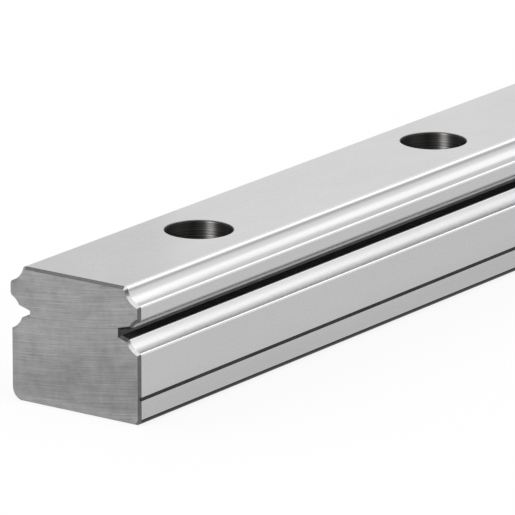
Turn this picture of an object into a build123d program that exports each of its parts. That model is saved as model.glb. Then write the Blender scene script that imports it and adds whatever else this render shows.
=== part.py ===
"""Profiled linear guide rail of hardened steel, one piece, cut to a stock length.

The rail lies on its base along X. The top is +Z and the datum side, marked by a fine groove,
faces -Y. The origin is the middle of the base.
"""
import os

from build123d import *

# Overall sizes of the rail, in millimetres
rail_length = 300.0
rail_width = 23.0
rail_height = 20.0

# Upper raceway: the hollow corner between the top face and the tooth
upper_raceway_width = 2.35
upper_raceway_height = 2.5
raceway_radius = 2.9

# Tooth: the flat land at full width, and the lower raceway on its underside
land_height = 2.1
lower_raceway_width = 1.5
lower_raceway_height = 1.35

# Waist: the narrow slot under the tooth
slot_depth = 3.4
slot_height = 0.8
slot_roof_drop = 0.5
slot_floor_drop = 0.4

# Shoulder: the hollow between the slot's lower lip and the side of the body
shoulder_width = 2.0
shoulder_height = 1.8

# Rounded long edges
head_edge_radius = 0.6
side_edge_radius = 0.35
root_edge_radius = 0.4
slot_corner_radius = 0.2

# The free side (+Y) is rounder than the datum side, and its body stays inside its tooth
free_tooth_radius = 0.7
free_foot_radius = 1.8
datum_foot_radius = 0.9
free_side_setback = 0.25

# Ground bevel round both end faces, and the smallest rounding that carries on across it
end_chamfer = 0.4
least_bevelled_radius = 0.5

# Fine groove that marks the datum side
datum_groove_height = 3.9
datum_groove_radius = 0.27

# Counterbored holes for socket-head screws, in one row along the middle
hole_pitch = 60.0
first_hole_distance = 30.0
bolt_hole_diameter = 6.0
counterbore_diameter = 10.0
counterbore_depth = 8.5
mouth_edge_break = 0.1


def section_corners(setback):
    """Return the corners of a +Y half of the section, its body set back from its tooth."""
    half_width = rail_width / 2
    head = (half_width - upper_raceway_width, rail_height)
    tooth_top = (half_width, rail_height - upper_raceway_height)
    tooth_bottom = (half_width, tooth_top[1] - land_height)
    root = (half_width - lower_raceway_width, tooth_bottom[1] - lower_raceway_height)
    slot_top = (half_width - slot_depth, root[1] - slot_roof_drop)
    slot_bottom = (half_width - slot_depth, slot_top[1] - slot_height)
    lip = (half_width - shoulder_width, slot_bottom[1] - slot_floor_drop)
    shoulder = (half_width - setback, lip[1] - shoulder_height)
    foot = (half_width - setback, 0)
    return head, tooth_top, tooth_bottom, root, slot_top, slot_bottom, lip, shoulder, foot


def half_section(setback, radii):
    """Return a +Y half of the section in the XY plane, its corners rounded or, at radius 0, sharp."""
    corners = section_corners(setback)
    head, tooth_top, tooth_bottom, root, slot_top, slot_bottom, lip, shoulder, foot = corners
    with BuildSketch() as half:
        with BuildLine():
            Line((0, rail_height), head)
            RadiusArc(head, tooth_top, -raceway_radius)
            Line(tooth_top, tooth_bottom)
            RadiusArc(tooth_bottom, root, -raceway_radius)
            Polyline(root, slot_top, slot_bottom, lip)
            RadiusArc(lip, shoulder, -raceway_radius)
            Polyline(shoulder, foot, (0, 0), (0, rail_height))
        make_face()
        for corner, radius in zip(corners, radii):
            if radius:
                fillet(half.vertices().sort_by_distance(corner)[0], radius)
    return half.sketch


def corner_radii(tooth_radius, foot_radius):
    """Return the radii of a half's corners, in the order of the corners."""
    tooth_edges = [tooth_radius, tooth_radius]
    slot_edges = [root_edge_radius, slot_corner_radius, slot_corner_radius]
    return [head_edge_radius] + tooth_edges + slot_edges + [side_edge_radius, side_edge_radius, foot_radius]


def bar(least_radius):
    """Extrude the section over the rail's length, its roundings below the least radius left sharp."""
    free_radii = [r if r >= least_radius else 0 for r in corner_radii(free_tooth_radius, free_foot_radius)]
    datum_radii = [r if r >= least_radius else 0 for r in corner_radii(side_edge_radius, datum_foot_radius)]
    section = half_section(free_side_setback, free_radii) + mirror(half_section(0, datum_radii), Plane.YZ)
    return extrude(Plane.YZ.offset(-rail_length / 2) * section, rail_length)


def bevelled_blank():
    """Make the bar with its small roundings left sharp, and a bevel round both end faces."""
    blank = bar(least_bevelled_radius)
    return chamfer(blank.faces().filter_by(Axis.X).edges(), end_chamfer)


def datum_groove():
    """Make the round cutter of the groove along the datum side."""
    start = Plane.YZ * Location((-rail_width / 2, datum_groove_height, -rail_length / 2))
    return extrude(start * Circle(datum_groove_radius), rail_length)


def screw_hole():
    """Make the cutter of one counterbored hole, from below the base up to the top face."""
    mouth_radius = counterbore_diameter / 2 + mouth_edge_break
    seat_height = rail_height - counterbore_depth
    through = Cylinder(bolt_hole_diameter / 2, seat_height, align=(Align.CENTER, Align.CENTER, Align.MIN))
    pocket = Pos(0, 0, seat_height) * Cylinder(
        counterbore_diameter / 2, counterbore_depth, align=(Align.CENTER, Align.CENTER, Align.MIN)
    )
    mouth = Pos(0, 0, rail_height - mouth_edge_break) * Cone(
        counterbore_diameter / 2, mouth_radius, mouth_edge_break,
        align=(Align.CENTER, Align.CENTER, Align.MIN),
    )
    return through + pocket + mouth


def hole_places():
    """Return the X of every hole: a whole number of pitches from the first end distance."""
    first = first_hole_distance - rail_length / 2
    count = int((rail_length - 2 * first_hole_distance) // hole_pitch) + 1
    return [first + index * hole_pitch for index in range(count)]


def guide_rail():
    """Make the finished rail."""
    rail = bevelled_blank() & bar(0)
    rail -= datum_groove()
    rail -= [Pos(x, 0, 0) * screw_hole() for x in hole_places()]
    return rail


os.makedirs("parts", exist_ok=True)
export_step(guide_rail(), "parts/guide_rail.step")
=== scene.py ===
"""A ground steel guide rail, lying on a pale studio floor.

The rail is one piece of steel. Its section is drawn at full fineness from the same sizes as the
CAD solid, and every ground, polished, turned, cut or dark surface has its own finish. Some of the
finishes' colours hold painted light and painted shade.
"""
import math
from collections import namedtuple

import bmesh
import bpy
from bpy.props import FloatProperty, FloatVectorProperty, PointerProperty
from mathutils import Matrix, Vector
from mathutils.geometry import intersect_line_line, intersect_line_sphere, intersect_point_line


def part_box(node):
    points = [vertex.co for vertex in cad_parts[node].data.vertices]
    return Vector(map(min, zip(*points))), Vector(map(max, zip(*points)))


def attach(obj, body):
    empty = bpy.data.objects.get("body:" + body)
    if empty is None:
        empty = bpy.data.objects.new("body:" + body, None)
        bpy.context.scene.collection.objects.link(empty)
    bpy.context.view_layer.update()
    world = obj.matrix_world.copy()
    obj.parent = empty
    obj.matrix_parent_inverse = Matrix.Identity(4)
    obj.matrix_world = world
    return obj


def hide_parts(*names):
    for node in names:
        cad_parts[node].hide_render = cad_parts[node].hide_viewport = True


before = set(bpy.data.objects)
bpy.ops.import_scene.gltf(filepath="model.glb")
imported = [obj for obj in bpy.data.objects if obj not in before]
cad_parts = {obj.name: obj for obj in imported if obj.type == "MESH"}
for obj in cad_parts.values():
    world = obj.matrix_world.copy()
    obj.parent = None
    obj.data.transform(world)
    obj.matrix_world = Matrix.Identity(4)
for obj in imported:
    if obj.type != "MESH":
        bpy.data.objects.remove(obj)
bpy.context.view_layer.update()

bl_info = {
    "name": "Ground guide rail",
    "version": (1, 0, 0),
    "blender": (4, 5, 0),
    "location": "3D View > Sidebar > Rail",
    "description": "Builds a profiled guide rail with ground, polished, turned and cut steel",
    "category": "Add Mesh",
}

MM = 0.001

# Points that lie nearer to each other than this are one.
WELD = 0.001 * MM

RAIL_NODE = "guide_rail"
RAIL_LOW, RAIL_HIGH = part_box(RAIL_NODE)
RAIL_SIZE = [high - low for low, high in zip(RAIL_LOW, RAIL_HIGH)]


def linear(hex_colour):
    """Turn an sRGB hex colour such as "C8C8CA" into linear red, green and blue."""
    channels = [int(hex_colour[place:place + 2], 16) / 255 for place in (0, 2, 4)]
    return [c / 12.92 if c <= 0.04045 else ((c + 0.055) / 1.055) ** 2.4 for c in channels]


def length(name, description, millimetres):
    """Return a length property whose default is given in millimetres."""
    return FloatProperty(
        name=name, description=description, default=millimetres * MM, unit="LENGTH", precision=5
    )


def colour(name, description, hex_colour):
    """Return a colour property whose default is given as an sRGB hex colour."""
    return FloatVectorProperty(
        name=name, description=description, default=linear(hex_colour), subtype="COLOR", min=0, max=1
    )


def angle(name, description, degrees):
    """Return an angle property whose default is given in degrees."""
    return FloatProperty(
        name=name, description=description, default=math.radians(degrees), subtype="ANGLE"
    )


class RailSizes(bpy.types.PropertyGroup):
    """Sizes of the rail: overall, of its section, and of its holes."""

    rail_length: length("Length", "Length along X", RAIL_SIZE[0] / MM)
    rail_width: length("Width", "Width over the teeth and the body", RAIL_SIZE[1] / MM)
    rail_height: length("Height", "Height from the base to the top face", RAIL_SIZE[2] / MM)
    upper_raceway_width: length("Upper raceway width", "From the head's edge out to the tooth", 2.35)
    upper_raceway_height: length("Upper raceway height", "From the top down to the tooth", 2.5)
    raceway_radius: length("Raceway radius", "Radius of the three hollows on each side", 2.9)
    land_height: length("Land height", "Height of the flat face of the tooth", 2.1)
    lower_raceway_width: length("Lower raceway width", "From the tooth's face in to its root", 1.5)
    lower_raceway_height: length("Lower raceway height", "From the land down to the root", 1.35)
    slot_depth: length("Slot depth", "From the body's side in to the waist", 3.4)
    slot_height: length("Slot height", "Height of the slot at the waist", 0.8)
    slot_roof_drop: length("Slot roof drop", "Fall of the slot's roof towards the waist", 0.5)
    slot_floor_drop: length("Slot floor drop", "Fall of the slot's floor towards its lip", 0.4)
    shoulder_width: length("Shoulder width", "From the body's side in to the slot's lip", 2.0)
    shoulder_height: length("Shoulder height", "From the slot's lip down to the body's side", 1.8)
    head_edge_radius: length("Head edge radius", "Round between the top and its raceway", 0.6)
    side_edge_radius: length("Side edge radius", "Round on datum tooth, lips and shoulders", 0.35)
    free_tooth_radius: length("Free tooth radius", "Round on the tooth of the +Y side", 0.7)
    root_edge_radius: length("Root edge radius", "Round between lower raceway and slot", 0.4)
    slot_corner_radius: length("Slot corner radius", "Round inside the slot", 0.2)
    datum_foot_radius: length("Datum foot radius", "Round along the foot of the -Y side", 0.9)
    free_foot_radius: length("Free foot radius", "Round along the foot of the +Y side", 1.8)
    free_side_setback: length("Free side setback", "How far the +Y body stays inside its tooth", 0.25)
    end_chamfer: length("End bevel", "Bevel round both end faces", 0.4)
    least_bevelled_radius: length("Least radius", "Smallest rounding that crosses the end bevel", 0.5)
    datum_groove_height: length("Groove height", "Height of the groove on the datum side", 3.9)
    datum_groove_radius: length("Groove radius", "Radius of the groove on the datum side", 0.27)
    hole_pitch: length("Hole pitch", "Distance from hole to hole", 60.0)
    first_hole_distance: length("First hole", "From the end face to the first hole", 30.0)
    bolt_hole_diameter: length("Hole diameter", "Clearance hole for the screw", 6.0)
    counterbore_diameter: length("Counterbore diameter", "Pocket for the screw's head", 10.0)
    counterbore_depth: length("Counterbore depth", "Depth of the pocket", 8.5)
    mouth_edge_break: length("Mouth edge break", "Bevel at the mouth of the pocket", 0.1)


class RailFinish(bpy.types.PropertyGroup):
    """Colours of the steel's finishes, some of them with painted light and painted shade in them."""

    top: colour("Ground top", "Top face", "C9C9CA")
    ground: colour("Ground steel", "Flat sides and base", "BEBEBF")
    polished: colour("Lapped steel", "Upper raceways", "D2D2D3")
    # The shoulders' colour, lighter than the raceway's, is painted light.
    shoulder: colour("Ground shoulder and painted light", "Hollows of the shoulders", "E5E5E6")
    # The lower raceway's darker colour is painted shade, for it faces down.
    underside: colour("Lower raceway", "Underside of the teeth, darkened as painted shade", "A4A4A5")
    # The edges' near-white colour is partly real polish and partly painted highlight.
    edge: colour("Polished edge and painted highlight", "Rounded long edges", "ECECEC")
    cut: colour("Cut end", "End faces as the cut-off wheel left them", "8D8D8D")
    bevel: colour("Filed bevel", "Bevels round the end faces and at the mouths of the holes", "656566")
    # The feet's dark colour is painted shade where the rail meets the floor.
    foot: colour("Foot in painted shade", "Feet, darkened as painted shade", "2A2A2B")
    # The groove is simply given a dark colour.
    groove: colour("Dark groove", "Groove of the datum side, dark", "3C3C3D")
    # The slots' dark colour is partly drawn skin, dark from hardening, and partly painted shade in the
    # recess.
    slot: colour("Slot skin and painted shade", "Slots, dark from hardening and painted shade", "58585A")
    # The bores' dark colour is painted shade in the holes; the turned rings are real.
    turned: colour("Turned bore in painted shade", "Walls of the counterbored holes, darkened as painted shade", "494847")


class StageSettings(bpy.types.PropertyGroup):
    """Floor, light and camera."""

    floor_colour: colour("Floor", "Colour of the floor", "FFFFFF")
    floor_size: length("Floor size", "Width of the square floor", 12000.0)
    world_strength: FloatProperty(
        name="Room light", description="Even light of the room, where 1 is white", default=1.0, min=0
    )
    floor_glow: FloatProperty(
        name="Floor glow", description="Share of even white in the floor as it is seen", default=0.85, min=0
    )
    camera_turn: angle("Camera turn", "How far the camera's view is turned from the rail", 35.517)
    camera_height_angle: angle("Camera height", "How steeply the camera looks down", 16.062)
    camera_distance: length("Camera distance", "From the camera to the aimed point", 1057.8)
    camera_lens: FloatProperty(name="Lens", description="Focal length in mm", default=507.6, min=1)
    aim_from_end: length("Aim from end", "Aimed point's distance from the near end face", 44.51)
    aim_height: length("Aim height", "Aimed point's height over the floor", 12.39)


# The section's outline

# A side is straight, or a hollow round a centre that lies outside the steel.
Side = namedtuple("Side", "surface start end centre radius", defaults=(None, 0.0))

# A corner's bend is 1 where the steel points outwards and -1 where it is an inner corner.
Corner = namedtuple("Corner", "surface place radius bend")

# A half is one side of the rail: the way it faces in Y, and what differs between the two.
Half = namedtuple("Half", "facing tooth_radius foot_radius setback")

# A chain is the run of edges that one side or one rounded corner has in an outline.
Chain = namedtuple("Chain", "surface edges")

# How many edges a hollow and a rounded corner are drawn with
HOLLOW_STEPS = 32
CORNER_STEPS = 12

# Faces of one surface that bend by less than this are one flat face.
FLAT_LIMIT = math.radians(0.01)

SURFACES = (
    "top", "side", "base", "raceway", "shoulder", "round", "underside", "slot", "foot",
    "end", "bevel", "raceway_bevel", "bore", "mouth", "groove",
)


def in_section(y, z):
    """Return a point of the section as a vector in the plane x = 0."""
    return Vector((0.0, y, z))


def hollow(surface, start, end, radius):
    """Return a hollow side: an arc from start to end, bulging into the steel."""
    chord = end - start
    outward = Vector((0.0, -chord.z, chord.y)).normalized()
    rise = math.sqrt(radius ** 2 - (chord.length / 2) ** 2)
    return Side(surface, start, end, (start + end) / 2 + outward * rise, radius)


def halves(sizes):
    """Return the free half and the datum half of the rail."""
    free = Half(1, sizes.free_tooth_radius, sizes.free_foot_radius, sizes.free_side_setback)
    datum = Half(-1, sizes.side_edge_radius, sizes.datum_foot_radius, 0.0)
    return free, datum


def half_section(sizes, half, least_radius):
    """Return the sides and corners of a half, drawn as if it faced +Y, from the top to the base.

    Corners with less than the least radius are left sharp.
    """
    half_width = sizes.rail_width / 2
    crown = in_section(0, sizes.rail_height)
    head = in_section(half_width - sizes.upper_raceway_width, sizes.rail_height)
    tooth_top = in_section(half_width, head.z - sizes.upper_raceway_height)
    tooth_bottom = in_section(half_width, tooth_top.z - sizes.land_height)
    root = in_section(half_width - sizes.lower_raceway_width, tooth_bottom.z - sizes.lower_raceway_height)
    slot_top = in_section(half_width - sizes.slot_depth, root.z - sizes.slot_roof_drop)
    slot_bottom = in_section(slot_top.y, slot_top.z - sizes.slot_height)
    lip = in_section(half_width - sizes.shoulder_width, slot_bottom.z - sizes.slot_floor_drop)
    shoulder = in_section(half_width - half.setback, lip.z - sizes.shoulder_height)
    foot = in_section(shoulder.y, 0)
    sides = [
        Side("top", crown, head),
        hollow("raceway", head, tooth_top, sizes.raceway_radius),
        Side("side", tooth_top, tooth_bottom),
        hollow("underside", tooth_bottom, root, sizes.raceway_radius),
        Side("slot", root, slot_top),
        Side("slot", slot_top, slot_bottom),
        Side("slot", slot_bottom, lip),
        hollow("shoulder", lip, shoulder, sizes.raceway_radius),
        Side("side", shoulder, foot),
        Side("base", foot, in_section(0, 0)),
    ]
    corners = [
        Corner("round", head, sizes.head_edge_radius, 1),
        Corner("round", tooth_top, half.tooth_radius, 1),
        Corner("underside", tooth_bottom, half.tooth_radius, 1),
        Corner("slot", root, sizes.root_edge_radius, 1),
        Corner("slot", slot_top, sizes.slot_corner_radius, -1),
        Corner("slot", slot_bottom, sizes.slot_corner_radius, -1),
        Corner("round", lip, sizes.side_edge_radius, 1),
        Corner("round", shoulder, sizes.side_edge_radius, 1),
        Corner("foot", foot, half.foot_radius, 1),
    ]
    kept = [
        corner if corner.radius >= least_radius else corner._replace(radius=0.0) for corner in corners
    ]
    return sides, kept


def moved_in(side, inset):
    """Return a side after it is moved into the steel by the inset."""
    if side.centre:
        return side._replace(radius=side.radius + inset)
    along = (side.end - side.start).normalized()
    inward = Vector((0.0, along.z, -along.y)) * inset
    return side._replace(start=side.start + inward, end=side.end + inward)


def meeting(before, after, inset, near):
    """Return where two neighbouring sides meet after both are moved into the steel."""
    first = moved_in(before, inset)
    second = moved_in(after, inset)
    if not first.centre and not second.centre:
        return intersect_line_line(first.start, first.end, second.start, second.end)[0]
    straight, arc = (second, first) if first.centre else (first, second)
    hits = intersect_line_sphere(straight.start, straight.end, arc.centre, arc.radius, False)
    return min(hits, key=lambda hit: (hit - near).length)


def touching(side, inset, centre):
    """Return the point of a moved side that lies nearest to the centre of a corner's round."""
    moved = moved_in(side, inset)
    if moved.centre:
        return moved.centre + (centre - moved.centre).normalized() * moved.radius
    return intersect_point_line(centre, moved.start, moved.end)[0]


class Pen:
    """Draws one half of an outline, edge by edge, in a plane across the rail."""

    def __init__(self, bm, x, facing, start):
        self.bm = bm
        self.x = x
        self.facing = facing
        self.chains = []
        self.tip = bm.verts.new(self.placed(start))

    def placed(self, place):
        """Return where a point of the +Y half lies in this plane and on this half."""
        return Vector((self.x, self.facing * place.y, place.z))

    def line(self, surface, place):
        """Draw a straight edge to the place."""
        grown = bmesh.ops.extrude_vert_indiv(self.bm, verts=[self.tip])
        self.tip = grown["verts"][0]
        self.tip.co = self.placed(place)
        self.chains.append(Chain(surface, grown["edges"]))

    def arc(self, surface, centre, place, steps):
        """Draw an arc round the centre to the place."""
        hub = self.placed(centre)
        target = self.placed(place)
        radius = self.tip.co - hub
        turn = math.atan2(radius.cross(target - hub).x, radius.dot(target - hub))
        drawn = len(self.bm.edges)
        grown = bmesh.ops.spin(
            self.bm, geom=[self.tip], cent=hub, axis=(1, 0, 0), angle=turn, steps=steps,
            use_duplicate=False,
        )
        self.tip = next(item for item in grown["geom_last"] if isinstance(item, bmesh.types.BMVert))
        self.tip.co = target
        self.bm.edges.ensure_lookup_table()
        self.chains.append(Chain(surface, self.bm.edges[drawn:]))

    def follow(self, side, place):
        """Draw along a side, which may have been moved in, to the place."""
        if side.centre:
            self.arc(side.surface, side.centre, place, HOLLOW_STEPS)
        else:
            self.line(side.surface, place)


def draw_half(bm, sizes, x, inset, half, least_radius):
    """Draw one half of the outline and return its chains."""
    sides, corners = half_section(sizes, half, least_radius)
    pen = Pen(bm, x, half.facing, moved_in(sides[0], inset).start)
    for before, corner, after in zip(sides, corners, sides[1:]):
        reach = corner.bend * corner.radius if corner.radius else inset
        centre = meeting(before, after, reach, corner.place)
        pen.follow(before, touching(before, inset, centre))
        if corner.radius:
            pen.arc(corner.surface, centre, touching(after, inset, centre), CORNER_STEPS)
    pen.follow(sides[-1], moved_in(sides[-1], inset).end)
    return pen.chains


def bar_through(sizes, stations, least_radius, surface_of):
    """Return a closed bar through outlines at several stations along the rail.

    A station is an X and how far the outline is moved into the steel there.
    """
    bm = bmesh.new()
    for half in halves(sizes):
        outlines = [draw_half(bm, sizes, x, inset, half, least_radius) for x, inset in stations]
        for near, far in zip(outlines, outlines[1:]):
            for near_chain, far_chain in zip(near, far):
                edges = list(near_chain.edges) + list(far_chain.edges)
                for face in bmesh.ops.bridge_loops(bm, edges=edges)["faces"]:
                    face.material_index = SURFACES.index(surface_of(near_chain.surface, half))
    bmesh.ops.remove_doubles(bm, verts=bm.verts, dist=WELD)
    for face in bmesh.ops.holes_fill(bm, edges=bm.edges, sides=0)["faces"]:
        face.material_index = SURFACES.index("end")
    bmesh.ops.dissolve_limit(
        bm, angle_limit=FLAT_LIMIT, verts=bm.verts, edges=bm.edges, delimit={"MATERIAL"}
    )
    bmesh.ops.recalc_face_normals(bm, faces=bm.faces)
    return bm


# The rail and the tools that shape it

# Surfaces of the free side whose end the file didn't reach
UNFILED = ("raceway", "shoulder", "underside", "round", "slot", "base")

# What the end bevel is on the datum side beside these surfaces
DATUM_BEVELS = {
    "raceway": "raceway_bevel", "shoulder": "raceway_bevel", "round": "raceway_bevel",
    "slot": "groove", "base": "end",
}

# How far a tool runs out of the steel, and how far the trimming form stands off its sides
OVERRUN = 1.0 * MM
BLANK_CLEARANCE = 0.3 * MM

# How many sides the round tools have
BORE_STEPS = 128
GROOVE_STEPS = 24

# Edges that bend by less than this are shaded smooth.
SMOOTH_LIMIT = math.radians(25)


def only_verts(items):
    """Return the vertices among a bmesh operator's results."""
    return [item for item in items if isinstance(item, bmesh.types.BMVert)]


def rounded_bar(sizes):
    """Make the bar with all its long edges rounded, a little longer than the rail."""
    end = sizes.rail_length / 2 + OVERRUN
    return bar_through(sizes, [(-end, 0.0), (end, 0.0)], 0.0, lambda surface, half: surface)


def bevel_beside(surface, half):
    """Return the surface that the end bevel is where it runs beside a surface of the rail."""
    if half.facing < 0:
        return DATUM_BEVELS.get(surface, "bevel")
    return "end" if surface in UNFILED else "bevel"


def bevelled_blank(sizes):
    """Make the form that trims the bar to length: the bevel of its ends cuts the bar's edges."""
    end = sizes.rail_length / 2
    widened = end - sizes.end_chamfer - BLANK_CLEARANCE
    stations = [
        (-end, sizes.end_chamfer), (-widened, -BLANK_CLEARANCE),
        (widened, -BLANK_CLEARANCE), (end, sizes.end_chamfer),
    ]
    return bar_through(sizes, stations, sizes.least_bevelled_radius, bevel_beside)


def hole_places(sizes):
    """Return the X of every hole: a whole number of pitches from the first end distance."""
    first = sizes.first_hole_distance - sizes.rail_length / 2
    count = round((sizes.rail_length - 2 * sizes.first_hole_distance) / sizes.hole_pitch) + 1
    return [first + index * sizes.hole_pitch for index in range(count)]


def hole_cutters(sizes):
    """Make one turned cutter for each counterbored hole, from below the base to over the top.

    The bevel at the mouth is at 45 degrees, and goes on so over the top.
    """
    bolt_radius = sizes.bolt_hole_diameter / 2
    pocket_radius = sizes.counterbore_diameter / 2
    seat = sizes.rail_height - sizes.counterbore_depth
    mouth = sizes.rail_height - sizes.mouth_edge_break
    over = sizes.rail_height + OVERRUN
    profile = [
        (bolt_radius, -OVERRUN), (bolt_radius, seat), (pocket_radius, seat),
        (pocket_radius, mouth), (pocket_radius + over - mouth, over), (0.0, over),
    ]
    bm = bmesh.new()
    tip = bm.verts.new((0.0, 0.0, -OVERRUN))
    for radius, z in profile:
        tip = bmesh.ops.extrude_vert_indiv(bm, verts=[tip])["verts"][0]
        tip.co = (radius, 0.0, z)
    bmesh.ops.spin(
        bm, geom=bm.edges[:], cent=(0, 0, 0), axis=(0, 0, 1), angle=math.tau, steps=BORE_STEPS,
        use_merge=True,
    )
    bmesh.ops.remove_doubles(bm, verts=bm.verts, dist=WELD)
    bmesh.ops.recalc_face_normals(bm, faces=bm.faces)
    for face in bm.faces:
        surface = "mouth" if face.calc_center_median().z > mouth else "bore"
        face.material_index = SURFACES.index(surface)
    pattern = bm.verts[:] + bm.edges[:] + bm.faces[:]
    for x in hole_places(sizes):
        copied = bmesh.ops.duplicate(bm, geom=pattern)["geom"]
        bmesh.ops.translate(bm, vec=(x, 0, 0), verts=only_verts(copied))
    bmesh.ops.delete(bm, geom=only_verts(pattern), context="VERTS")
    return bm


def groove_cutter(sizes):
    """Make the round cutter of the fine groove along the datum side."""
    end = sizes.rail_length / 2 + 2 * OVERRUN
    bm = bmesh.new()
    hub = Vector((-end, -sizes.rail_width / 2, sizes.datum_groove_height))
    ring = bm.verts.new(hub + Vector((0, sizes.datum_groove_radius, 0)))
    bmesh.ops.spin(
        bm, geom=[ring], cent=hub, axis=(1, 0, 0), angle=math.tau, steps=GROOVE_STEPS, use_merge=True
    )
    bmesh.ops.remove_doubles(bm, verts=bm.verts, dist=WELD)
    disc = bmesh.ops.contextual_create(bm, geom=bm.edges)["faces"]
    grown = bmesh.ops.extrude_face_region(bm, geom=disc, use_keep_orig=True)["geom"]
    bmesh.ops.translate(bm, vec=(2 * end, 0, 0), verts=only_verts(grown))
    for face in bm.faces:
        face.material_index = SURFACES.index("groove")
    bmesh.ops.recalc_face_normals(bm, faces=bm.faces)
    return bm


def as_object(name, bm):
    """Put a bmesh into a new object of the scene."""
    mesh = bpy.data.meshes.new(name)
    bm.to_mesh(mesh)
    bm.free()
    made = bpy.data.objects.new(name, mesh)
    bpy.context.scene.collection.objects.link(made)
    return made


def machined(bar, tools):
    """Cut the bar with each tool and return the mesh that is left."""
    for tool, operation in tools:
        cut = bar.modifiers.new(tool.name, "BOOLEAN")
        cut.object = tool
        cut.operation = operation
        cut.solver = "MANIFOLD"
    graph = bpy.context.evaluated_depsgraph_get()
    mesh = bpy.data.meshes.new_from_object(bar.evaluated_get(graph))
    for spare in [bar] + [tool for tool, _ in tools]:
        bpy.data.objects.remove(spare)
    return mesh


def finished(shape, materials):
    """Return the machined shape with its materials, smooth, with a crisp line round each surface."""
    bm = bmesh.new()
    bm.from_mesh(shape)
    bpy.data.meshes.remove(shape)
    bmesh.ops.remove_doubles(bm, verts=bm.verts, dist=WELD)
    bmesh.ops.dissolve_degenerate(bm, edges=bm.edges, dist=WELD)
    for face in bm.faces:
        face.smooth = True
    for edge in bm.edges:
        first, second = edge.link_faces
        same_surface = first.material_index == second.material_index
        edge.smooth = same_surface and edge.calc_face_angle() < SMOOTH_LIMIT
    mesh = bpy.data.meshes.new("profiled_rail")
    for material in materials:
        mesh.materials.append(material)
    bm.to_mesh(mesh)
    bm.free()
    return mesh


# Steel finishes

# A noise pattern seldom leaves this range, so its whole swing is counted from here to there.
NOISE_LOW = 0.3
NOISE_HIGH = 0.7

# Sockets of a Mix node, where names repeat: its factor, its two numbers, its two colours
MIX_FACTOR = 0
MIX_NUMBERS = (2, 3)
MIX_COLOURS = (6, 7)
MIX_COLOUR_OUT = 2

# How far the roughness of ground steel swings to each side
GLOSS_SWING = 0.04

# What a grinding wheel leaves: a colour, how far it varies, a roughness, and the depth of the marks
Grind = namedtuple("Grind", "tone spread roughness depth")


def add_node(tree, kind, inputs=None, **settings):
    """Add a node with its settings. Each input takes either a value or another node's output."""
    added = tree.nodes.new(kind)
    for name, value in settings.items():
        setattr(added, name, value)
    for name, value in (inputs or {}).items():
        if isinstance(value, bpy.types.NodeSocket):
            tree.links.new(value, added.inputs[name])
        else:
            added.inputs[name].default_value = value
    return added


def new_material(name, **uniform):
    """Make a metal with the given uniform shader values; return it, its nodes and its shader."""
    material = bpy.data.materials.new(name)
    material.use_nodes = True
    tree = material.node_tree
    shader = tree.nodes["Principled BSDF"]
    shader.inputs["Metallic"].default_value = 1.0
    for socket, value in uniform.items():
        shader.inputs[socket].default_value = value
    return material, tree, shader


def stretched(tree, streak, spacing):
    """Return object coordinates counted in streaks along X and in spacings across."""
    place = add_node(tree, "ShaderNodeTexCoord").outputs["Object"]
    scale = (1 / streak, 1 / spacing, 1 / spacing)
    return add_node(tree, "ShaderNodeMapping", {"Vector": place, "Scale": scale}).outputs["Vector"]


def tinted(tree, shader, pattern, tone, spread):
    """Let the colour follow a pattern, from a little under the tone to a little over it."""
    share = add_node(
        tree, "ShaderNodeMapRange", {"Value": pattern, "From Min": NOISE_LOW, "From Max": NOISE_HIGH}
    ).outputs["Result"]
    dark = [channel * (1 - spread) for channel in tone] + [1.0]
    light = [channel * (1 + spread) for channel in tone] + [1.0]
    shade = add_node(
        tree, "ShaderNodeMix", {MIX_FACTOR: share, MIX_COLOURS[0]: dark, MIX_COLOURS[1]: light},
        data_type="RGBA",
    ).outputs[MIX_COLOUR_OUT]
    tree.links.new(shade, shader.inputs["Base Color"])


def ground(tree, shader, marks, cloud, grind):
    """Put a wheel's marks on the steel: in its colour, with a soft cloud, in its gloss and as relief."""
    both = add_node(tree, "ShaderNodeMath", {0: marks, 1: cloud}, operation="ADD").outputs[0]
    middle = add_node(tree, "ShaderNodeMath", {0: both, 1: 0.5}, operation="MULTIPLY").outputs[0]
    tinted(tree, shader, middle, grind.tone, grind.spread)
    dullness = add_node(
        tree, "ShaderNodeMapRange",
        {
            "Value": marks, "From Min": NOISE_LOW, "From Max": NOISE_HIGH,
            "To Min": grind.roughness - GLOSS_SWING, "To Max": grind.roughness + GLOSS_SWING,
        },
    )
    tree.links.new(dullness.outputs["Result"], shader.inputs["Roughness"])
    relief = add_node(tree, "ShaderNodeBump", {"Height": marks, "Strength": 1.0, "Distance": grind.depth})
    tree.links.new(relief.outputs["Normal"], shader.inputs["Normal"])


def ground_flat(name, grind):
    """Steel ground lengthwise: fine lines along the rail in a soft, even sheen.

    The wheel's lines are 0.05 mm apart; they are drawn 0.18 mm apart so that they show.
    """
    material, tree, shader = new_material(name)
    line_length = 35 * MM
    line_spacing = 0.18 * MM
    cloud_length = 24 * MM
    cloud_width = 5 * MM
    along_lines = stretched(tree, line_length, line_spacing)
    lines = add_node(
        tree, "ShaderNodeTexNoise", {"Vector": along_lines, "Scale": 1.0, "Detail": 3.0, "Roughness": 0.6}
    ).outputs["Fac"]
    along_cloud = stretched(tree, cloud_length, cloud_width)
    cloud = add_node(
        tree, "ShaderNodeTexNoise", {"Vector": along_cloud, "Scale": 1.0, "Detail": 2.0}
    ).outputs["Fac"]
    ground(tree, shader, lines, cloud, grind)
    return material


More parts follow.
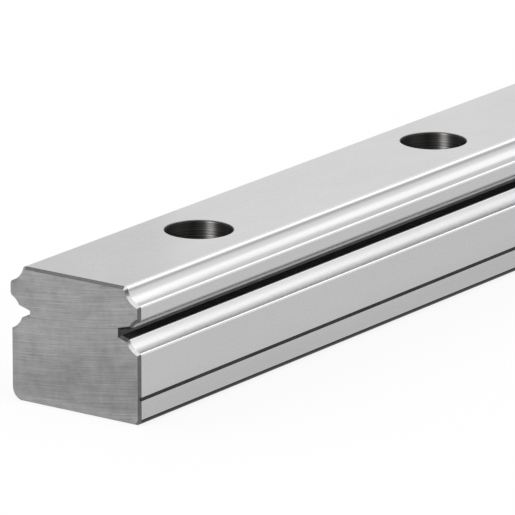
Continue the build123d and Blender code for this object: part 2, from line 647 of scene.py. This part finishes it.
def ground_top(finish):
    """Steel ground by a cup wheel: faint arcs across the face over an even, pale sheen.

    The wheel is 150 mm across and runs along the rail, a little to one side. Its marks are
    0.1 mm apart; they are drawn 0.4 mm apart so that they show.
    """
    material, tree, shader = new_material("Hardened steel, cup-wheel ground")
    wheel_radius = 75 * MM
    wheel_side = 25 * MM
    mark_spacing = 0.4 * MM
    cloud_length = 14 * MM
    cloud_width = 6 * MM
    place = add_node(tree, "ShaderNodeTexCoord").outputs["Object"]
    parts = add_node(tree, "ShaderNodeSeparateXYZ", {"Vector": place}).outputs
    from_axis = add_node(tree, "ShaderNodeMath", {0: parts["Y"], 1: wheel_side}, operation="ADD").outputs[0]
    squared = add_node(tree, "ShaderNodeMath", {0: from_axis, 1: 2.0}, operation="POWER").outputs[0]
    rest = add_node(
        tree, "ShaderNodeMath", {0: wheel_radius ** 2, 1: squared}, operation="SUBTRACT"
    ).outputs[0]
    reach = add_node(tree, "ShaderNodeMath", {0: rest}, operation="SQRT").outputs[0]
    ahead = add_node(tree, "ShaderNodeMath", {0: parts["X"], 1: reach}, operation="SUBTRACT").outputs[0]
    count = add_node(tree, "ShaderNodeMath", {0: ahead, 1: mark_spacing}, operation="DIVIDE").outputs[0]
    marks = add_node(
        tree, "ShaderNodeTexNoise", {"W": count, "Scale": 1.0, "Detail": 4.0, "Roughness": 0.65},
        noise_dimensions="1D",
    ).outputs["Fac"]
    along_cloud = stretched(tree, cloud_length, cloud_width)
    cloud = add_node(
        tree, "ShaderNodeTexNoise", {"Vector": along_cloud, "Scale": 1.0, "Detail": 3.0}
    ).outputs["Fac"]
    grind = Grind(tone=finish.top, spread=0.05, roughness=0.28, depth=0.001 * MM)
    ground(tree, shader, marks, cloud, grind)
    return material


def ground_side(finish):
    """Flat sides, surface ground lengthwise: even, with the finest lines."""
    grind = Grind(tone=finish.ground, spread=0.03, roughness=0.26, depth=0.002 * MM)
    return ground_flat("Hardened steel, surface ground", grind)


def ground_base(finish):
    """Base, surface ground lengthwise like the sides: duller, with plainer lines."""
    grind = Grind(tone=finish.ground, spread=0.12, roughness=0.3, depth=0.002 * MM)
    return ground_flat("Hardened steel, base ground", grind)


def lapped_raceway(finish):
    """Upper raceway, form ground and lapped: bright, with hair lines along the track."""
    grind = Grind(tone=finish.polished, spread=0.02, roughness=0.22, depth=0.001 * MM)
    return ground_flat("Hardened steel, lapped raceway", grind)


def underside_in_painted_shade(finish):
    """Lower raceway under the tooth, form ground like the upper one; its darker colour is painted shade, for
    it faces down.
    """
    grind = Grind(tone=finish.underside, spread=0.02, roughness=0.25, depth=0.001 * MM)
    return ground_flat("Hardened steel, lower raceway in painted shade", grind)


def shoulder_with_painted_light(finish):
    """Shoulder hollow, form ground: bright, softer than the raceway; its colour, lighter than the raceway's,
    is painted light.
    """
    grind = Grind(tone=finish.shoulder, spread=0.02, roughness=0.38, depth=0.0005 * MM)
    return ground_flat("Hardened steel, form ground and painted light", grind)


def polished_round_and_painted_highlight(finish):
    """Rounded long edges, polished by the grinding wheel's flanks: thin bright lines, partly real polish and
    partly a painted highlight from a colour paler than the steel's.
    """
    grind = Grind(tone=finish.edge, spread=0.01, roughness=0.2, depth=0.0005 * MM)
    return ground_flat("Hardened steel, polished edge and painted highlight", grind)


def dark_skin_and_painted_shade(name, tone):
    """Dark, dull, faintly mottled steel. On the feet the dark colour is painted shade where the rail meets
    the floor; in the slots it is partly drawn skin that no wheel has touched, dark from hardening, and
    partly painted shade in the recess; in the groove it is simply dark.

    The drawing die leaves streaks about 2.5 mm long and 0.5 mm wide.
    """
    material, tree, shader = new_material(name, Roughness=0.45)
    streak_length = 2.5 * MM
    streak_width = 0.5 * MM
    along_streaks = stretched(tree, streak_length, streak_width)
    mottle = add_node(
        tree, "ShaderNodeTexNoise", {"Vector": along_streaks, "Scale": 1.0, "Detail": 4.0}
    ).outputs["Fac"]
    # The tone holds painted shade on the feet and, in part, in the slots.
    tinted(tree, shader, mottle, tone, spread=0.25)
    relief = add_node(tree, "ShaderNodeBump", {"Height": mottle, "Strength": 1.0, "Distance": 0.01 * MM})
    tree.links.new(relief.outputs["Normal"], shader.inputs["Normal"])
    return material


def cut_end(finish):
    """End face as the cut-off wheel left it: grey, faintly mottled, with broken shallow arcs.

    The wheel is 400 mm across. The lines of its grit are 0.05 mm apart; they are drawn 0.14 mm
    apart so that they show, and fade after about 12 mm. The mottling lies in patches of 4 mm.
    """
    material, tree, shader = new_material("Steel, abrasive cut", Roughness=0.38)
    wheel_centre = (0.0, 26 * MM, 212 * MM)
    line_spacing = 0.14 * MM
    line_length = 12 * MM
    patch_size = 4 * MM
    place = add_node(tree, "ShaderNodeTexCoord").outputs["Object"]
    from_wheel = add_node(
        tree, "ShaderNodeVectorMath", {0: place, 1: wheel_centre}, operation="SUBTRACT"
    ).outputs["Vector"]
    in_face = add_node(
        tree, "ShaderNodeVectorMath", {0: from_wheel, 1: (0, 1, 1)}, operation="MULTIPLY"
    ).outputs["Vector"]
    reach = add_node(tree, "ShaderNodeVectorMath", {0: in_face}, operation="LENGTH").outputs["Value"]
    count = add_node(tree, "ShaderNodeMath", {0: reach, 1: line_spacing}, operation="DIVIDE").outputs[0]
    across = add_node(tree, "ShaderNodeSeparateXYZ", {"Vector": place}).outputs["Y"]
    run = add_node(tree, "ShaderNodeMath", {0: across, 1: line_length}, operation="DIVIDE").outputs[0]
    strokes = add_node(tree, "ShaderNodeCombineXYZ", {"X": run, "Y": count}).outputs["Vector"]
    lines = add_node(
        tree, "ShaderNodeTexNoise", {"Vector": strokes, "Scale": 1.0, "Detail": 4.0, "Roughness": 0.7},
        noise_dimensions="2D",
    ).outputs["Fac"]
    patches = add_node(
        tree, "ShaderNodeTexNoise",
        {"Vector": place, "Scale": 1 / patch_size, "Detail": 8.0, "Roughness": 0.75},
    ).outputs["Fac"]
    worn = add_node(
        tree, "ShaderNodeMix", {MIX_FACTOR: 0.5, MIX_NUMBERS[0]: lines, MIX_NUMBERS[1]: patches},
        data_type="FLOAT",
    ).outputs[0]
    tinted(tree, shader, worn, finish.cut, spread=0.42)
    relief = add_node(tree, "ShaderNodeBump", {"Height": lines, "Strength": 1.0, "Distance": 0.006 * MM})
    tree.links.new(relief.outputs["Normal"], shader.inputs["Normal"])
    return material


def filed_bevel(finish):
    """Bevel filed round the end faces: dark and dull beside the ground faces.

    The file leaves short marks about 0.4 mm long.
    """
    material, tree, shader = new_material("Steel, filed", Roughness=0.4)
    mark_size = 0.4 * MM
    place = add_node(tree, "ShaderNodeTexCoord").outputs["Object"]
    marks = add_node(
        tree, "ShaderNodeTexNoise", {"Vector": place, "Scale": 1 / mark_size, "Detail": 3.0}
    ).outputs["Fac"]
    tinted(tree, shader, marks, finish.bevel, spread=0.12)
    return material


def deburred_edge(finish):
    """Bevel of the hollows, broken with a hand stone: bright, with a slight waver.

    The stone leaves waves about 0.5 mm long.
    """
    material, tree, shader = new_material("Steel, deburred edge", Roughness=0.22)
    wave_size = 0.5 * MM
    place = add_node(tree, "ShaderNodeTexCoord").outputs["Object"]
    waver = add_node(
        tree, "ShaderNodeTexNoise", {"Vector": place, "Scale": 1 / wave_size, "Detail": 2.0}
    ).outputs["Fac"]
    tinted(tree, shader, waver, finish.polished, spread=0.1)
    return material


def turned_bore_in_painted_shade(finish):
    """Counterbore wall, turned: fine rings, a dark colour that is painted shade in the hole, and a light
    that stretches down the wall.

    The tool's feed is 0.1 mm a turn; the rings are drawn 0.22 mm apart so that they show.
    """
    material, tree, shader = new_material(
        "Steel, turned bore in painted shade", **{"Roughness": 0.43, "Anisotropic": 0.88, "Anisotropic Rotation": 0.25}
    )
    ring_spacing = 0.22 * MM
    place = add_node(tree, "ShaderNodeTexCoord").outputs["Object"]
    parts = add_node(tree, "ShaderNodeSeparateXYZ", {"Vector": place}).outputs
    count = add_node(tree, "ShaderNodeMath", {0: parts["Z"], 1: ring_spacing}, operation="DIVIDE").outputs[0]
    rings = add_node(
        tree, "ShaderNodeTexNoise", {"W": count, "Scale": 1.0, "Detail": 3.0, "Roughness": 0.6},
        noise_dimensions="1D",
    ).outputs["Fac"]
    # The dark tone is painted shade in the hole; the rings' swing about it is real.
    tinted(tree, shader, rings, finish.turned, spread=0.75)
    relief = add_node(tree, "ShaderNodeBump", {"Height": rings, "Strength": 1.0, "Distance": 0.012 * MM})
    tree.links.new(relief.outputs["Normal"], shader.inputs["Normal"])
    facing = add_node(tree, "ShaderNodeNewGeometry").outputs["Normal"]
    around = add_node(
        tree, "ShaderNodeVectorMath", {0: facing, 1: (0, 0, 1)}, operation="CROSS_PRODUCT"
    ).outputs["Vector"]
    tree.links.new(around, shader.inputs["Tangent"])
    return material


def rail_materials(finish):
    """Return one material for each surface, in the order of the surfaces."""
    filed = filed_bevel(finish)
    finishes = {
        "top": ground_top(finish),
        "side": ground_side(finish),
        "base": ground_base(finish),
        "raceway": lapped_raceway(finish),
        "shoulder": shoulder_with_painted_light(finish),
        "round": polished_round_and_painted_highlight(finish),
        "underside": underside_in_painted_shade(finish),
        # Drawn skin, with painted shade in the recess
        "slot": dark_skin_and_painted_shade("Steel, slot skin and painted shade", finish.slot),
        # Painted shade where the rail meets the floor
        "foot": dark_skin_and_painted_shade("Steel, foot in painted shade", finish.foot),
        "end": cut_end(finish),
        "bevel": filed,
        "raceway_bevel": deburred_edge(finish),
        "bore": turned_bore_in_painted_shade(finish),
        "mouth": filed,
        "groove": dark_skin_and_painted_shade("Steel, dark groove", finish.groove),
    }
    return [finishes[surface] for surface in SURFACES]


class GUIDE_RAIL_OT_add_rail(bpy.types.Operator):
    """Build the rail from its section and give each surface its finish"""

    bl_idname = "guide_rail.add_rail"
    bl_label = "Add rail"
    bl_options = {"REGISTER", "UNDO"}

    def execute(self, context):
        sizes = context.scene.rail_sizes
        bar = as_object("bar", rounded_bar(sizes))
        tools = [
            (as_object("hole_cutters", hole_cutters(sizes)), "DIFFERENCE"),
            (as_object("groove_cutter", groove_cutter(sizes)), "DIFFERENCE"),
            (as_object("bevelled_blank", bevelled_blank(sizes)), "INTERSECT"),
        ]
        mesh = finished(machined(bar, tools), rail_materials(context.scene.rail_finish))
        rail = bpy.data.objects.new("profiled_rail", mesh)
        context.scene.collection.objects.link(rail)
        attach(rail, "root")
        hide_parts(RAIL_NODE)
        return {"FINISHED"}


# Floor, light and camera

# The part of the rail that the camera sees, at which the lamps and cards are pointed
SEEN_PART = (-80 * MM, 0, 12 * MM)

# A softbox's brightness of 1 looks white in a perfect mirror.
Softbox = namedtuple("Softbox", "name place target width height brightness")

SOFTBOXES = (
    Softbox(
        "back_softbox", place=(0.86, -0.25, 0.57), target=SEEN_PART, width=0.48, height=0.36, brightness=0.5
    ),
    Softbox(
        "left_softbox", place=(-1.11, 0.08, 0.49), target=SEEN_PART, width=0.4, height=0.35, brightness=52.0
    ),
    Softbox(
        "top_softbox", place=(0.08, -0.12, 0.35), target=(0.08, -0.12, 0.0), width=0.3, height=0.3,
        brightness=1.5,
    ),
)

# Each card looks the same from anywhere: its tone is what a perfect mirror would show. The end and
# foot cards lie just over the floor and face up, before the near end and along the datum side.
Card = namedtuple("Card", "name place target width height tone")

CARDS = (
    Card("right_card", place=(0.85, -0.75, 0.13), target=SEEN_PART, width=0.45, height=0.3, tone="C8C8C8"),
    Card("over_card", place=(0.78, 0.234, 0.656), target=SEEN_PART, width=0.5, height=0.36, tone="E2E2E2"),
    Card("front_card", place=(-0.75, -0.92, 0.27), target=SEEN_PART, width=0.5, height=0.6, tone="303030"),
    Card(
        "near_card", place=(-0.12, 0.06, 0.057), target=(-0.12, 0.0, 0.057), width=0.15, height=0.064,
        tone="EEEEEE",
    ),
    Card(
        "end_card", place=(-0.167, 0.0, 0.001), target=(-0.167, 0.0, 0.1), width=0.032, height=0.032,
        tone="D8D8D8",
    ),
    Card(
        "foot_card", place=(0.0, -0.015, 0.0001), target=(0.0, -0.015, 0.1), width=0.3, height=0.007,
        tone="EEEEEE",
    ),
)


def seen_directly(tree):
    """Return 1 for rays from the camera, or by way of metal or glass, and 0 for light itself."""
    path = add_node(tree, "ShaderNodeLightPath").outputs
    straight = add_node(
        tree, "ShaderNodeMath", {0: path["Is Camera Ray"], 1: path["Is Glossy Ray"]}, operation="MAXIMUM"
    ).outputs[0]
    return add_node(
        tree, "ShaderNodeMath", {0: straight, 1: path["Is Transmission Ray"]}, operation="MAXIMUM"
    ).outputs[0]


def rectangle(name, width, height, material):
    """Make a flat rectangle that faces up, out of a square of 1 m."""
    bm = bmesh.new()
    bmesh.ops.create_grid(bm, x_segments=1, y_segments=1, size=0.5)
    bmesh.ops.scale(bm, vec=(width, height, 1), verts=bm.verts)
    made = as_object(name, bm)
    made.data.materials.append(material)
    return made


def set_world(scene, stage):
    """Light the room evenly, with a white backdrop behind the floor."""
    world = bpy.data.worlds.new("White room")
    world.use_nodes = True
    tree = world.node_tree
    backdrop = tree.nodes["Background"]
    backdrop.inputs["Color"].default_value = (1, 1, 1, 1)
    backdrop.inputs["Strength"].default_value = stage.world_strength
    scene.world = world


def add_floor(stage):
    """Lay a matt white floor that is mostly even white where it is seen, and keeps the shadow."""
    material = bpy.data.materials.new("Matt white paper")
    material.use_nodes = True
    tree = material.node_tree
    shader = tree.nodes["Principled BSDF"]
    shader.inputs["Base Color"].default_value = list(stage.floor_colour) + [1.0]
    shader.inputs["Roughness"].default_value = 1.0
    shader.inputs["Specular IOR Level"].default_value = 0.0
    white = add_node(tree, "ShaderNodeEmission", {"Color": (1, 1, 1, 1), "Strength": 1.0}).outputs[0]
    share = add_node(
        tree, "ShaderNodeMath", {0: seen_directly(tree), 1: stage.floor_glow}, operation="MULTIPLY"
    ).outputs[0]
    paper = add_node(tree, "ShaderNodeMixShader", {0: share, 1: shader.outputs[0], 2: white})
    tree.links.new(paper.outputs[0], tree.nodes["Material Output"].inputs["Surface"])
    floor = rectangle("floor", stage.floor_size, stage.floor_size, material)


def aimed(place, target):
    """Return the turn that points an object's -Z from its place at the target."""
    return (Vector(target) - Vector(place)).to_track_quat("-Z", "Y").to_euler()


def add_softbox(scene, box):
    """Hang a soft rectangular lamp that only gives the steel its highlights."""
    lamp = bpy.data.lights.new(box.name, "AREA")
    lamp.shape = "RECTANGLE"
    lamp.size = box.width
    lamp.size_y = box.height
    lamp.energy = box.brightness * math.pi * box.width * box.height
    holder = bpy.data.objects.new(box.name, lamp)
    holder.location = box.place
    holder.rotation_euler = aimed(box.place, box.target)
    holder.visible_diffuse = False
    scene.collection.objects.link(holder)


def add_card(card):
    """Place an evenly lit grey card that only shows in the steel, to shade one side of it."""
    material = bpy.data.materials.new("Grey card")
    material.use_nodes = True
    tree = material.node_tree
    grey = add_node(tree, "ShaderNodeEmission", {"Color": linear(card.tone) + [1.0], "Strength": 1.0})
    tree.links.new(grey.outputs[0], tree.nodes["Material Output"].inputs["Surface"])
    holder = rectangle(card.name, card.width, card.height, material)
    holder.location = card.place
    holder.rotation_euler = aimed(card.place, card.target)
    holder.visible_camera = False
    holder.visible_diffuse = False
    holder.visible_shadow = False


def add_camera(scene, stage):
    """Set up the camera at the photograph's viewing angle."""
    aim = Vector((-RAIL_SIZE[0] / 2 + stage.aim_from_end, 0, stage.aim_height))
    level = math.cos(stage.camera_height_angle)
    back = Vector((
        -level * math.cos(stage.camera_turn),
        -level * math.sin(stage.camera_turn),
        math.sin(stage.camera_height_angle),
    ))
    lens = bpy.data.cameras.new("camera")
    lens.lens = stage.camera_lens
    camera = bpy.data.objects.new("camera", lens)
    camera.location = aim + back * stage.camera_distance
    camera.rotation_euler = aimed(camera.location, aim)
    scene.collection.objects.link(camera)
    scene.camera = camera


class GUIDE_RAIL_OT_set_stage(bpy.types.Operator):
    """Lay the floor, hang the soft lamps and set up the camera"""

    bl_idname = "guide_rail.set_stage"
    bl_label = "Set stage"
    bl_options = {"REGISTER", "UNDO"}

    def execute(self, context):
        scene = context.scene
        stage = scene.rail_stage
        add_floor(stage)
        set_world(scene, stage)
        for box in SOFTBOXES:
            add_softbox(scene, box)
        for card in CARDS:
            add_card(card)
        add_camera(scene, stage)
        scene.view_settings.view_transform = "Standard"
        return {"FINISHED"}


class GUIDE_RAIL_PT_panel(bpy.types.Panel):
    """Lists the rail's sizes, its finishes and its stage"""

    bl_label = "Guide rail"
    bl_space_type = "VIEW_3D"
    bl_region_type = "UI"
    bl_category = "Rail"

    def draw(self, context):
        scene = context.scene
        for group, operator in (
            (scene.rail_sizes, None),
            (scene.rail_finish, GUIDE_RAIL_OT_add_rail.bl_idname),
            (scene.rail_stage, GUIDE_RAIL_OT_set_stage.bl_idname),
        ):
            box = self.layout.box()
            for field in group.__annotations__:
                box.prop(group, field)
            if operator:
                box.operator(operator)


CLASSES = (
    RailSizes,
    RailFinish,
    StageSettings,
    GUIDE_RAIL_OT_add_rail,
    GUIDE_RAIL_OT_set_stage,
    GUIDE_RAIL_PT_panel,
)


def register():
    for item in CLASSES:
        bpy.utils.register_class(item)
    bpy.types.Scene.rail_sizes = PointerProperty(type=RailSizes)
    bpy.types.Scene.rail_finish = PointerProperty(type=RailFinish)
    bpy.types.Scene.rail_stage = PointerProperty(type=StageSettings)


def unregister():
    del bpy.types.Scene.rail_stage
    del bpy.types.Scene.rail_finish
    del bpy.types.Scene.rail_sizes
    for item in reversed(CLASSES):
        bpy.utils.unregister_class(item)


def main():
    register()
    bpy.ops.guide_rail.add_rail()
    bpy.ops.guide_rail.set_stage()


if __name__ == "__main__":
    main()
